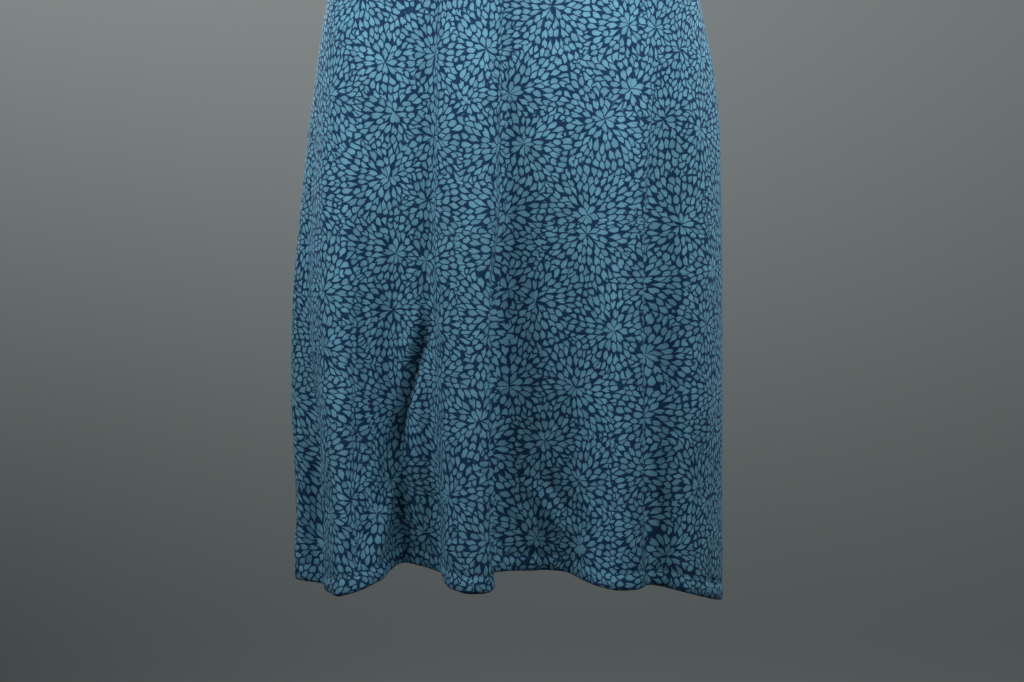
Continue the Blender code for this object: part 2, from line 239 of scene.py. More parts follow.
def tube_points(face, share, down):
    """Points on the smooth dress, with the shoulders sloped."""
    x, y, length = half_rings(face, down)
    share_knots = shares(length)
    x = read_rows(share, share_knots, x)
    y = read_rows(share, share_knots, y)
    fade = np.maximum(0.0, 1.0 - down / SHOULDER_REACH) ** 2
    slope = SHOULDER_SLOPE * np.maximum(0.0, np.abs(x) - NECK_HALF_WIDTH) * fade
    return np.stack((x, y, level("height", down) - slope), axis=-1)


def hem_lengths(folds):
    """Distance along the hem from the left side seam to each fold."""
    return run_along([(fold.x, fold.y) for fold in folds])


def fold_offsets(face, along, height):
    """How far the folds move points of the smooth dress."""
    folds = FOLDS[face]
    knots = hem_lengths(folds)

    def column(name, end_slope=None):
        values = [getattr(f, name) for f in folds]
        return smooth(knots, values, along, end_slope, end_slope)

    start = np.interp(along, knots, [f.start for f in folds])
    grown = np.clip((start - height) / (start - SECTIONS[-1].height), 0.0, 1.0)
    hem = tube_points(face, column("top"), np.full(len(along), HEM_DOWN))
    lean = column("sway") * np.exp(-(((height - SWAY_HEIGHT) / SWAY_SPAN) ** 2)) * (grown > 0)
    across = (column("x", end_slope=0.0) - hem[:, 0]) * grown**FOLD_GROWTH + lean
    outward = (column("y") - hem[:, 1]) * grown**FOLD_GROWTH
    drop = (column("height", end_slope=0.0) - hem[:, 2]) * grown**DROP_GROWTH
    return np.stack((across, outward, drop), axis=-1)


def share_of(face, x, down):
    """The share of the half girth at which the dress is x from the middle."""
    ring_x, _, length = half_rings(face, down)
    return read_rows(x, ring_x, shares(length))


def neck_edge(face, angle, inset):
    """Share and distance down of the neckline, 0 at its lowest point."""
    down = (NECK_DROP[face] - inset) * np.cos(angle)
    x = (NECK_HALF_WIDTH - inset) * np.sin(angle)
    return share_of(face, x, down), down


def armhole_edge(face, angle, inset):
    """Share and distance down of the armhole's edge, 0 at the side seam."""
    down = (ARMHOLE_DROP - inset) * np.cos(angle)
    reach = share_of(face, np.full(len(angle), ARMHOLE_HALF_WIDTH + inset), down)
    cut_in = np.sin(angle) * (1.0 + ARMHOLE_FULLNESS * np.sin(2.0 * angle))
    return 1.0 - (1.0 - reach) * cut_in, down


def panel_rows(face):
    """Rows of a half panel from the hem up: share and distance down of both ends."""
    skirt = np.linspace(HEM_ROWS[-1], HEM_DOWN - HIP_DOWN, SKIRT_ROWS)[1:]
    skirt = HEM_DOWN - np.concatenate((HEM_ROWS, skirt))
    body = np.linspace(HIP_DOWN, ARMHOLE_DROP, BODY_ROWS)[1:]
    level_rows = np.concatenate((skirt, body))[:-1]
    outer_share, outer_down = armhole_edge(face, np.linspace(0.0, QUARTER, BODICE_ROWS), 0.0)
    curve = math.hypot(NECK_DROP[face], NECK_HALF_WIDTH) * QUARTER / math.sqrt(2)
    rise = ARMHOLE_DROP - NECK_DROP[face]
    neck_rows = round(BODICE_ROWS * curve / (rise + curve))
    neck_share, neck_down = neck_edge(face, np.linspace(0.0, QUARTER, neck_rows), 0.0)
    straight = np.linspace(ARMHOLE_DROP, NECK_DROP[face], BODICE_ROWS - neck_rows + 1)[:-1]
    inner_share = np.concatenate((np.zeros(len(straight)), neck_share))
    inner_down = np.concatenate((straight, neck_down))
    below = (np.ones(len(level_rows)), level_rows, np.zeros(len(level_rows)), level_rows)
    above = (outer_share, outer_down, inner_share, inner_down)
    return [np.concatenate(rows) for rows in zip(below, above)]


def half_cloth(face, side):
    """Points of half a panel, rows from the hem up and columns from the middle out, with
    their place on the flat cloth and their distance from its seams."""
    folds = FOLDS[face]
    knots = hem_lengths(folds)
    tops = [f.top for f in folds]
    ends = [k for k in knots if (k - knots[tops.index(0.0)]) * side >= 0.0][::side]
    along = []
    for a, b in zip(ends, ends[1:]):
        steps = max(3, round(abs(b - a) / COLUMN_WIDTH))
        along += [a + (b - a) * i / steps for i in range(steps)]
    along = np.array(along + ends[-1:])
    across = np.abs(smooth(knots, tops, along))
    outer_share, outer_down, inner_share, inner_down = (r[:, None] for r in panel_rows(face))
    share = inner_share + (outer_share - inner_share) * across
    down = inner_down + (outer_down - inner_down) * across
    shape = share.shape
    share, down = share.ravel() * side, down.ravel()
    points = tube_points(face, share, down)
    points += fold_offsets(face, np.tile(along, shape[0]), points[:, 2])
    points[:, 1] += face * SEAM_GAP / 2
    points = points.reshape(shape + (3,))
    _, _, length = half_rings(face, down)
    girth = length[:, -1] if side > 0 else -length[:, 0]
    across_cloth = (np.abs(share) * girth).reshape(shape)
    folded = run_along(points)
    level_row = (inner_share == 0.0) & (outer_share == 1.0)
    across_cloth = np.where(level_row, folded, across_cloth) * side
    flat = np.stack((across_cloth, -down.reshape(shape)), axis=-1)
    to_neck = np.where(inner_share > 0.0, folded, 1.0)
    to_edge = np.minimum(np.minimum(folded[:, -1:] - folded, to_neck), down.reshape(shape))
    return points, flat, to_edge


def outward(points, face):
    """Directions straight out of the cloth at each point of a half panel."""
    normal = np.cross(np.gradient(points, axis=1), np.gradient(points, axis=0))
    normal /= np.linalg.norm(normal, axis=2, keepdims=True) + 1e-12
    middle = normal[len(normal) // 3, 0, 1]
    return normal * (1.0 if middle * face > 0 else -1.0)


def ease(share):
    """A share from 0 to 1 that starts and ends softly."""
    share = np.clip(share, 0.0, 1.0)
    return share * share * (3 - 2 * share)


# How strong a crease is at its ends, and how soon it is whole
CREASE_END, CREASE_TAPER = 0.35, 2.5


def crease_height(face, points):
    """How far the small creases lift points of the cloth."""
    x, z = points[..., 0], points[..., 2]
    lift = np.zeros(x.shape)
    for c in CREASES[face]:
        run = np.array((c.x2 - c.x1, c.z2 - c.z1))
        length = np.linalg.norm(run)
        run /= length
        along = ((x - c.x1) * run[0] + (z - c.z1) * run[1]) / length
        side = (z - c.z1) * run[0] - (x - c.x1) * run[1]
        across = np.exp(-((side / np.where(side > 0, c.right, c.left)) ** 2))
        to_end = np.minimum(along, 1.0 - along)
        lift += c.height * across * ease(to_end * CREASE_TAPER + CREASE_END)
    return lift


# The unevenness of hanging jersey: its size, how many waves a metre across and up
# the cloth, how they lean, where they start, and how high above the hem they reach
Ripple = namedtuple("Ripple", "name size across up lean start reach")
RIPPLES = (
    Ripple("soft waves", 0.0011, 26.0, 9.0, 0.0, 0.0, math.inf),
    Ripple("fine waves", 0.00035, 70.0, 34.0, 0.0, 5.0, math.inf),
    Ripple("wrinkles over the hem", 0.0016, 60.0, 26.0, 22.0, 0.0, 0.150),
)
PUCKER = Ripple("pucker along the stitching", 0.0011, 95.0, 30.0, 0.0, 0.0, 0.045)
STITCH_DIP, STITCH_DIP_WIDTH = 0.0010, 0.0018
HEM_PUFF, HEM_PUFF_WIDTH, HEM_PUFF_UP = 0.0007, 0.0050, HEM_TURN * 0.45


def wave(ripple, x, y, up, above_hem):
    """The lift of one ripple at a point, which fades towards its reach."""
    place = (x * ripple.across + up * ripple.lean + ripple.start, y * ripple.across, up * ripple.up)
    return ripple.size * noise.noise(Vector(place)) * (1.0 - above_hem / ripple.reach)


def ripples(points, above_hem):
    """The slight unevenness of hanging jersey, and the pucker along the hem's stitching."""
    lift = np.zeros(above_hem.shape)
    for place in np.ndindex(lift.shape):
        x, y, z = points[place]
        up = above_hem[place]
        lift[place] = sum(wave(r, x, y, z, up) for r in RIPPLES if up < r.reach)
        if up < PUCKER.reach:
            lift[place] += wave(PUCKER, x, y, up, up)
    dip = np.exp(-(((above_hem - HEM_TURN) / STITCH_DIP_WIDTH) ** 2))
    puff = np.exp(-(((above_hem - HEM_PUFF_UP) / HEM_PUFF_WIDTH) ** 2))
    return lift - STITCH_DIP * dip + HEM_PUFF * puff


# The side seams' waves: their size, how many a metre, and where they start
SeamWave = namedtuple("SeamWave", "size waves start")
SEAM_WAVES = (SeamWave(0.0011, 58.0, (7.0, 3.0)), SeamWave(0.0012, 21.0, (2.0, 9.0)))
SEAM_WAVE_REACH = 0.028
CALM_BELOW_ARM = 0.02


def seam_wobble(points, flat):
    """The side seams' own small waves below the arms, the same on both panels."""
    wobble = np.zeros(len(points))
    for size, waves, start in SEAM_WAVES:
        places = [Vector((*start, z * waves)) for z in points[:, -1, 2]]
        wobble += size * np.array([noise.noise(place) for place in places])
    to_seam = np.linalg.norm(points - points[:, -1:], axis=2)
    near = np.clip(1.0 - to_seam / SEAM_WAVE_REACH, 0.0, 1.0)
    below_arm = flat[:, -1:, 1] < -ARMHOLE_DROP - CALM_BELOW_ARM
    return wobble[:, None] * near * near * below_arm


def turned_in(edge, direction, face):
    """The seam allowance: the cloth past a seam, turned in against the other panel's."""
    turned = np.stack([edge + np.array(direction) * depth for depth in ALLOWANCE_ROWS])
    turned[..., 1] = face * ALLOWANCE_OUT
    return turned


def with_turnings(face, side, points, flat, normal):
    """Half a panel with its hem turned up and its seam allowances turned in."""
    turned = points[STITCH_ROW:0:-1] - normal[STITCH_ROW:0:-1] * HEM_LAYERS_APART
    turned_flat = flat[STITCH_ROW:0:-1] * (1, -1) - (0, 2 * HEM_DOWN)
    points[0] -= normal[0] * HEM_LAYERS_APART / 2

    seamed = panel_rows(face)[0] == 1.0
    points[seamed, -1, 1] = face * SEAM_EDGE_OUT
    allowance = turned_in(points[:, -1], (-side, 0.0, 0.0), face)
    allowance = np.where(seamed[:, None], allowance, points[:, -1])
    points = np.concatenate((points, allowance.swapaxes(0, 1)), axis=1)
    cut = np.array(ALLOWANCE_CUT)[:, None]
    flat = np.concatenate((flat, flat[:, -1:] + cut * (side, 0.0)), axis=1)
    spare = ((0, 0), (0, len(ALLOWANCE_CUT)), (0, 0))
    turned = np.pad(turned, spare, mode="edge")
    turned_flat = np.pad(turned_flat, spare, mode="edge")

    points[-1, :, 1] = face * SEAM_EDGE_OUT
    shoulder = turned_in(points[-1], (0.0, 0.0, -1.0), face)
    shoulder_flat = flat[-1] + cut[:, None] * (0.0, 1.0)
    return np.concatenate((turned, points, shoulder)), np.concatenate((turned_flat, flat, shoulder_flat))


def cloth_grid(bm, points, flat, place):
    """A grid of cloth at points, with its place on the flat cloth as its UV map."""
    rows, columns = points.shape[:2]
    made = bmesh.ops.create_grid(bm, x_segments=columns - 1, y_segments=rows - 1, size=1.0)
    uv = bm.loops.layers.uv.verify()
    for vert in made["verts"]:
        column = round((vert.co.x + 1.0) / 2.0 * (columns - 1))
        row = round((vert.co.y + 1.0) / 2.0 * (rows - 1))
        vert.co = points[row, column]
        for loop in vert.link_loops:
            loop[uv].uv = flat[row, column] + place


def made_piece(bm, name, materials):
    """A shape as an object in the scene."""
    mesh = bpy.data.meshes.new(name)
    bm.to_mesh(mesh)
    bm.free()
    mesh.shade_smooth()
    for material in materials:
        mesh.materials.append(material)
    piece = bpy.data.objects.new(name, mesh)
    bpy.context.scene.collection.objects.link(piece)
    return piece


def finish_cloth(bm, name, outside, thickness):
    """A piece of cloth from its middle surface, printed on the side that outside, a
    point and a direction, gives."""
    bmesh.ops.remove_doubles(bm, verts=bm.verts, dist=0.00001)
    bmesh.ops.recalc_face_normals(bm, faces=bm.faces)
    point, direction = (Vector(v) for v in outside)
    nearest = min(bm.faces, key=lambda f: (f.calc_center_median() - point).length_squared)
    if nearest.normal.dot(direction) < 0:
        bmesh.ops.reverse_faces(bm, faces=bm.faces)
    piece = made_piece(bm, name, (printed_side, wrong_side))
    piece.data.uv_layers[0].name = "flat cloth"
    wall = piece.modifiers.new("thickness", "SOLIDIFY")
    wall.thickness = thickness
    wall.offset = 0.0
    wall.material_offset = 1
    return piece


# How near an edge the cloth lies smooth
EDGE_CALM = 0.022


def panel(name, face, place):
    """A panel, two halves of one cloth joined down the middle to the neck, and the line
    of its hem's stitches."""
    halves = [half_cloth(face, side) for side in (-1, 1)]
    normals = [outward(points, face) for points, _, _ in halves]
    joined = int(np.sum(panel_rows(face)[2] == 0.0))
    middle = normals[0][:joined, 0] + normals[1][:joined, 0]
    middle /= np.linalg.norm(middle, axis=1, keepdims=True)
    bm = bmesh.new()
    hem_line = []
    for (points, flat, to_edge), normal, side in zip(halves, normals, (-1, 1)):
        normal[:joined, 0] = middle
        lift = crease_height(face, points) + ripples(points, HEM_DOWN + flat[..., 1])
        points = points + normal * (lift * ease(to_edge / EDGE_CALM))[..., None]
        points[..., 0] += side * seam_wobble(points, flat)
        hem_line.append((points[STITCH_ROW], normal[STITCH_ROW]))
        cloth_grid(bm, *with_turnings(face, side, points, flat, normal), place)
    outside = halves[0][0][len(points) // 3, 0], (0.0, face, 0.0)
    return finish_cloth(bm, name, outside, CLOTH_THICKNESS), hem_line


# The print: bursts of small pale blue petals on navy, a common all-over repeat. Each
# burst has rings of petals round its middle, and a petal past the half way line to
# the next burst shrinks
PETAL_BLUE, GROUND_NAVY = (0.113, 0.284, 0.390, 1.0), (0.0096, 0.0345, 0.088, 1.0)
FADED_BLUE, FADED_NAVY = (0.150, 0.255, 0.315, 1.0), (0.070, 0.132, 0.185, 1.0)
BURST_SPACING = 0.060
BURST_UNEVENNESS = 0.95
FIRST_RING = 0.0060
RING_STEP = 0.0086
FIRST_RING_PETALS = 8.0
PETALS_MORE_A_RING = 9.3
PETAL_LENGTH = 0.0119
PETAL_WIDTH = 0.0047
PETAL_TAPER = 0.42
PETAL_POINT = 2.6
PETAL_SHRINKS = 200.0
SAME_PETAL = 0.0030
TURN_LUCK, RING_LUCK, LEAN_LUCK = 0.26, 0.60, 0.5
PETAL_SEED, RING_SEED = (311.7, 173.3, 1.0), (731.3, 419.9, 1.0)
SEEDS_A_RING = 37.0
WANDER = 0.006
GAP = (0.12, 0.30)
EDGE = (1.03, 0.88)
SHARPEST_CORNER = 0.35
NEVER = 9.0

# The cloth: ranges of its tone, wear and roughness, and the size of its knit
RIM_TO_MIDDLE, PETAL_RIM = (0.93, 1.07), (1.1, 0.2)
WEAR, SPECKLE, MATT = (0.89, 1.11), (0.82, 1.18), (0.80, 0.90)
WALE, COURSE, LOOP_SLANT, FUZZ = 0.00062, 0.00050, 0.45, 0.8


class Pen:
    """Makers of the shader sums that a print or a finish is drawn with."""

    def __init__(self, tree):
        self.tree = tree

    def feed(self, socket, value):
        if isinstance(value, (int, float, tuple)):
            socket.default_value = value
        else:
            self.tree.links.new(value, socket)

    def node(self, kind, values, **settings):
        """A new node's outputs, with its settings made and its inputs fed."""
        node = self.tree.nodes.new("ShaderNode" + kind)
        for name, value in settings.items():
            setattr(node, name, value)
        for name, value in values.items():
            self.feed(node.inputs[name], value)
        return node.outputs

    def drawn(self, group, values):
        return self.node("Group", values, node_tree=group)

    def sum(self, operation, *values):
        return self.node("Math", dict(enumerate(values)), operation=operation)[0]

    def vector(self, operation, *values):
        outputs = self.node("VectorMath", dict(enumerate(values)), operation=operation)
        return outputs["Value" if operation in ("LENGTH", "DOT_PRODUCT") else "Vector"]

    def pair(self, x, y, z=0.0):
        return self.node("CombineXYZ", {0: x, 1: y, 2: z})[0]

    def parts(self, vector):
        return self.node("SeparateXYZ", {0: vector})

    def between(self, low, high, share):
        return self.sum("MULTIPLY_ADD", share, high - low, low)

    def gap(self, here, there):
        return self.vector("LENGTH", self.vector("SUBTRACT", here, there))

    def chance(self, vector, number, scale):
        place = self.vector("MULTIPLY", vector, scale)
        return self.node("TexWhiteNoise", {"Vector": place, "W": number}, noise_dimensions="4D")

    def clouds(self, place, scale, detail):
        return self.node("TexNoise", {"Vector": place, "Scale": scale, "Detail": detail})

    def soft_step(self, value, low, high):
        limits = {"Value": value, "From Min": low, "From Max": high}
        return self.node("MapRange", limits, interpolation_type="SMOOTHSTEP")[0]

    def mixed(self, share, first, second, kind="RGBA", way="MIX"):
        a, b, result = {"FLOAT": (2, 3, 0), "VECTOR": (4, 5, 1), "RGBA": (6, 7, 2)}[kind]
        values = {0: share, a: first, b: second}
        return self.node("Mix", values, data_type=kind, blend_type=way)[result]

    def scaled(self, colour, share):
        return self.mixed(1.0, colour, self.pair(share, share, share), way="MULTIPLY")

    def relief(self, height, strength, depth):
        values = {"Height": height, "Strength": strength, "Distance": depth}
        return self.node("Bump", values)["Normal"]

    def nearest_burst(self, place, feature="F1"):
        """The middle of the nearest burst, F1, or of the next, F2."""
        values = {"Vector": place, "Scale": 1 / BURST_SPACING, "Randomness": BURST_UNEVENNESS}
        cells = self.node("TexVoronoi", values, voronoi_dimensions="2D", feature=feature)
        return cells["Position"]


def drawing(name, inputs, outputs):
    """A node group: its pen, its inputs and its outputs."""
    tree = bpy.data.node_groups.new(name, "ShaderNodeTree")
    for labels, way in ((inputs, "INPUT"), (outputs, "OUTPUT")):
        for label in labels.split():
            points = ("place", "burst", "heart", "other_heart")
            kind = "NodeSocketVector" if label in points else "NodeSocketFloat"
            tree.interface.new_socket(label, in_out=way, socket_type=kind)
    given = tree.nodes.new("NodeGroupInput").outputs
    result = tree.nodes.new("NodeGroupOutput").inputs
    return Pen(tree), given, result


def petal_drawing():
    """One petal of a burst: its heart, its own tone, and reach, which is 1 about its
    outline and grows where another burst is nearer to its heart."""
    pen, given, result = drawing("petal", "place burst ring count turn petal", "heart reach shade")
    number = pen.sum("FLOORED_MODULO", given["petal"], given["count"])
    seed = pen.sum("MULTIPLY_ADD", given["ring"], SEEDS_A_RING, number)
    chance = pen.chance(given["burst"], seed, PETAL_SEED)
    luck = pen.parts(pen.vector("SUBTRACT", chance["Color"], (0.5, 0.5, 0.5)))
    turned = pen.sum("ADD", given["petal"], given["turn"])
    turned = pen.sum("MULTIPLY_ADD", luck[0], TURN_LUCK, turned)
    angle = pen.sum("DIVIDE", pen.sum("MULTIPLY", turned, 2 * math.pi), given["count"])
    rings_out = pen.sum("MULTIPLY_ADD", luck[1], RING_LUCK, given["ring"])
    radius = pen.sum("MULTIPLY_ADD", rings_out, RING_STEP, FIRST_RING)
    ray = pen.pair(pen.sum("COSINE", angle), pen.sum("SINE", angle))
    heart = pen.vector("MULTIPLY_ADD", ray, pen.pair(radius, radius), given["burst"])
    lean = pen.sum("MULTIPLY_ADD", luck[2], LEAN_LUCK, angle)
    sine, cosine = pen.sum("SINE", lean), pen.sum("COSINE", lean)
    away = pen.vector("SUBTRACT", given["place"], heart)
    outwards = pen.vector("DOT_PRODUCT", away, pen.pair(cosine, sine))
    sideways = pen.vector("DOT_PRODUCT", away, pen.pair(pen.sum("MULTIPLY", sine, -1.0), cosine))
    along = pen.sum("MULTIPLY", outwards, 2 / PETAL_LENGTH)
    within = pen.sum("MAXIMUM", pen.sum("MINIMUM", along, 1.0), -1.0)
    half_width = pen.sum("MULTIPLY_ADD", within, PETAL_TAPER, 1.0)
    across = pen.sum("MULTIPLY", pen.sum("ABSOLUTE", sideways), 2 / PETAL_WIDTH)
    across = pen.sum("DIVIDE", across, half_width)
    point = pen.sum("MAXIMUM", pen.sum("MULTIPLY", along, -1.0), 0.0)
    squares = pen.sum("MULTIPLY_ADD", along, along, pen.sum("MULTIPLY", across, across))
    point = pen.sum("MULTIPLY", point, across)
    reach = pen.sum("SQRT", pen.sum("MULTIPLY_ADD", point, PETAL_POINT, squares))
    own, rival = pen.gap(heart, given["burst"]), pen.gap(heart, pen.nearest_burst(heart))
    lost = pen.sum("MAXIMUM", pen.sum("SUBTRACT", own, rival), 0.0)
    pen.feed(result["reach"], pen.sum("MULTIPLY_ADD", lost, PETAL_SHRINKS, reach))
    pen.feed(result["heart"], heart)
    pen.feed(result["shade"], chance["Value"])
    return pen.tree


def burst_drawing(petal):
    """The petals of a burst next to a point: the nearest two reaches and hearts."""
    best = "heart other_heart first second shade"
    pen, given, result = drawing("burst", "place burst " + best, best)
    x, y, _ = pen.parts(pen.vector("SUBTRACT", given["place"], given["burst"]))
    bearing = pen.sum("DIVIDE", pen.sum("ARCTAN2", y, x), 2 * math.pi)
    rings = pen.sum("SUBTRACT", pen.gap(given["place"], given["burst"]), FIRST_RING)
    rings = pen.sum("DIVIDE", rings, RING_STEP)
    near_ring = pen.sum("MAXIMUM", pen.sum("ROUND", rings), 0.0)
    beyond = pen.sum("SIGN", pen.sum("SUBTRACT", rings, near_ring))
    next_ring = pen.sum("ADD", near_ring, beyond)
    heart, other_heart, first, second, shade = (given[name] for name in best.split())
    for ring in (near_ring, next_ring):
        count = pen.sum("ROUND", pen.sum("MULTIPLY_ADD", ring, PETALS_MORE_A_RING, FIRST_RING_PETALS))
        turn = pen.chance(given["burst"], ring, RING_SEED)["Value"]
        place = pen.sum("SUBTRACT", pen.sum("MULTIPLY", bearing, count), turn)
        near = pen.sum("ROUND", place)
        beside = pen.sum("ADD", near, pen.sum("SIGN", pen.sum("SUBTRACT", place, near)))
        missing = pen.sum("MULTIPLY", pen.sum("LESS_THAN", ring, -0.5), NEVER)
        known = {"place": given["place"], "burst": given["burst"], "ring": ring}
        known |= {"count": count, "turn": turn}
        for number in (near, beside):
            got = pen.drawn(petal, known | {"petal": number})
            reach = pen.sum("ADD", got["reach"], missing)
            nearer = pen.sum("LESS_THAN", reach, first)
            separate = pen.sum("GREATER_THAN", pen.gap(got["heart"], heart), SAME_PETAL)
            farther = pen.sum("MAXIMUM", first, reach)
            as_second = pen.sum("MULTIPLY", pen.sum("LESS_THAN", farther, second), separate)
            left_over = pen.mixed(nearer, got["heart"], heart, "VECTOR")
            other_heart = pen.mixed(as_second, other_heart, left_over, "VECTOR")
            heart = pen.mixed(nearer, heart, got["heart"], "VECTOR")
            second = pen.mixed(as_second, second, farther, "FLOAT")
            shade = pen.mixed(nearer, shade, got["shade"], "FLOAT")
            first = pen.sum("MINIMUM", first, reach)
    for name, value in zip(best.split(), (heart, other_heart, first, second, shade)):
        pen.feed(result[name], value)
    return pen.tree


def print_drawing():
    """The whole print: cover is 1 on a petal and 0 on the ground."""
    pen, given, result = drawing("petal print", "place", "cover shade reach")
    burst = burst_drawing(petal_drawing())
    wander = pen.clouds(given["place"], scale=55.0, detail=1.0)["Color"]
    shift = pen.vector("SUBTRACT", wander, (0.5, 0.5, 0.5))
    place = pen.vector("MULTIPLY_ADD", shift, (WANDER, WANDER, 0.0), given["place"])
    got = {"first": NEVER, "second": NEVER, "shade": 0.5, "heart": (9.0, 0.0, 0.0),
           "other_heart": (0.0, 9.0, 0.0)}
    for feature in ("F1", "F2"):
        centre = pen.nearest_burst(place, feature)
        out = pen.drawn(burst, {"place": place, "burst": centre} | got)
        got = {name: out[name] for name in got}
    from_heart = pen.vector("NORMALIZE", pen.vector("SUBTRACT", place, got["heart"]))
    from_other = pen.vector("NORMALIZE", pen.vector("SUBTRACT", place, got["other_heart"]))
    apart = pen.sum("MAXIMUM", pen.gap(from_heart, from_other), SHARPEST_CORNER)
    between = pen.sum("DIVIDE", pen.sum("SUBTRACT", got["second"], got["first"]), apart)
    cover = pen.sum("MULTIPLY", pen.soft_step(between, *GAP), pen.soft_step(got["first"], *EDGE))
    for name, value in (("cover", cover), ("shade", got["shade"]), ("reach", got["first"])):
        pen.feed(result[name], value)
    return pen.tree


def new_finish(name):
    """A material, its pen and the inputs of its surface."""
    material = bpy.data.materials.new(name)
    material.use_nodes = True
    tree = material.node_tree
    return material, Pen(tree), tree.nodes["Principled BSDF"].inputs


def knit_height(pen, flat):
    """The wales of fine jersey: upright columns of small v-shaped loops."""
    x, y, _ = pen.parts(flat)
    slant = pen.sum("ABSOLUTE", pen.sum("SINE", pen.sum("MULTIPLY", y, math.pi / COURSE)))
    wale = pen.sum("MULTIPLY", x, math.pi / WALE)
    column = pen.sum("MULTIPLY_ADD", slant, LOOP_SLANT * QUARTER, wale)
    loops = pen.sum("ABSOLUTE", pen.sum("SINE", column))
    fuzz = pen.clouds(flat, scale=900.0, detail=3.0)["Fac"]
    return pen.sum("MULTIPLY_ADD", fuzz, FUZZ, loops)


def jersey(name, petal_colour, ground_colour, tones, print_group):
    """Printed jersey: matt, faintly fuzzy cloth, with the print dyed into it."""
    material, pen, surface = new_finish(name)
    flat = pen.node("UVMap", {}, uv_map="flat cloth")["UV"]
    got = pen.drawn(print_group, {"place": flat})
    worn = pen.clouds(flat, scale=14.0, detail=4.0)["Fac"]
    specks = pen.clouds(flat, scale=620.0, detail=2.0)["Fac"]
    to_middle = pen.soft_step(got["reach"], *PETAL_RIM)
    tone = pen.sum("MULTIPLY", pen.between(*tones, got["shade"]), pen.between(*RIM_TO_MIDDLE, to_middle))
    dyed = pen.mixed(got["cover"], ground_colour, pen.scaled(petal_colour, tone))
    wear = pen.sum("MULTIPLY", pen.between(*WEAR, worn), pen.between(*SPECKLE, specks))
    pen.feed(surface["Base Color"], pen.scaled(dyed, wear))
    pen.feed(surface["Roughness"], pen.between(*MATT, worn))
    pen.feed(surface["Normal"], pen.relief(knit_height(pen, flat), strength=0.30, depth=0.00018))
    surface["Specular IOR Level"].default_value = 0.07
    surface["Sheen Weight"].default_value = 0.02
    surface["Sheen Roughness"].default_value = 0.55
    surface["Sheen Tint"].default_value = (0.62, 0.80, 0.90, 1.0)
    return material


petal_print = print_drawing()
printed_side = jersey("printed jersey", PETAL_BLUE, GROUND_NAVY, (0.86, 1.12), petal_print)
wrong_side = jersey("wrong side of the jersey", FADED_BLUE, FADED_NAVY, (0.94, 1.06), petal_print)

front, front_hem_line = panel("front", FRONT, (0.0, 0.0))
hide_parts("front_panel")
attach(front, "root")


# ----------------------------------------------- back panel
# The back is cut like the front, a little higher at the neck. Its folds are its
# own: a pleat left of the middle, with ridges and valleys beside it. It is sewn
# to the front at the shoulders and sides, with the allowances turned inside.

FOLDS[BACK] = (
    LEFT_SEAM,
    Fold("left roll", -0.890, -0.58, 0.000, -0.192, 0.040, -1.000),
    Fold("left groove", -0.800, -0.54, 0.002, -0.172, 0.048, -0.995),
    Fold("left ridge", -0.660, -0.48, 0.004, -0.152, 0.094, -0.999),
    Fold("left ridge, inner side", -0.560, -0.48, 0.000, -0.130, 0.092, -0.997),
    Fold("left valley", -0.440, -0.50, -0.006, -0.106, 0.063, -0.989),
    Fold("pleat, left side", -0.330, -0.40, -0.004, -0.086, 0.110, -0.997),
    Fold("pleat", -0.230, -0.36, 0.000, -0.064, 0.122, -0.998),
    Fold("pleat, right side", -0.130, -0.38, 0.003, -0.044, 0.082, -0.992),
    Fold("middle of the back", 0.000, -0.46, 0.005, -0.014, 0.068, -0.989),
    Fold("middle ridge", 0.130, -0.50, 0.004, 0.014, 0.112, -0.996),
    Fold("middle ridge, right side", 0.220, -0.50, 0.000, 0.036, 0.106, -0.995),
    Fold("wide valley", 0.340, -0.48, -0.004, 0.060, 0.070, -0.989),
    Fold("right ridge", 0.470, -0.44, 0.000, 0.092, 0.116, -0.999),
    Fold("right ridge, right side", 0.570, -0.46, 0.000, 0.114, 0.100, -0.998),
    Fold("right groove", 0.670, -0.50, 0.000, 0.134, 0.062, -0.996),
    Fold("corner ridge", 0.800, -0.54, 0.000, 0.168, 0.070, -1.006),
    Fold("corner ridge, outer side", 0.910, -0.58, 0.000, 0.190, 0.036, -1.014),
    RIGHT_SEAM,
)
CREASES[BACK] = (
    Crease("small of the back, upper", -0.105, -0.338, 0.060, -0.352, 0.012, 0.015, 0.0030),
    Crease("small of the back, lower", -0.070, -0.392, 0.112, -0.380, 0.014, 0.012, 0.0028),
    Crease("trough between them", -0.088, -0.366, 0.090, -0.366, 0.011, 0.012, -0.0026),
    Crease("shoulder blade, left", -0.120, -0.175, -0.070, -0.262, 0.012, 0.015, 0.0018),
    Crease("shoulder blade, right", 0.122, -0.168, 0.066, -0.255, 0.015, 0.012, 0.0020),
    Crease("seat pull, left", -0.150, -0.500, -0.104, -0.610, 0.012, 0.014, 0.0022),
    Crease("seat pull, right", 0.150, -0.490, 0.112, -0.600, 0.014, 0.012, 0.0020),
    Crease("left thigh trough", -0.118, -0.640, -0.128, -0.830, 0.008, 0.011, -0.0030),
    Crease("pleat wrinkle", -0.040, -0.700, -0.026, -0.850, 0.009, 0.012, -0.0032),
    Crease("fold over the valley", 0.030, -0.760, 0.058, -0.900, 0.014, 0.005, -0.0060),
    Crease("lip of that fold", 0.044, -0.765, 0.072, -0.900, 0.005, 0.011, 0.0026),
    Crease("right ridge strip", 0.104, -0.560, 0.106, -0.960, 0.007, 0.006, 0.0022),
    Crease("right thigh trough", 0.140, -0.600, 0.146, -0.800, 0.012, 0.009, -0.0026),
    Crease("left hem wrinkle", -0.100, -0.900, -0.118, -0.980, 0.007, 0.005, 0.0026),
    Crease("right hem wrinkle", 0.128, -0.905, 0.146, -0.984, 0.006, 0.008, -0.0026),
)

back, back_hem_line = panel("back", BACK, (1.371, 0.418))
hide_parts("back_panel")
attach(back, "root")


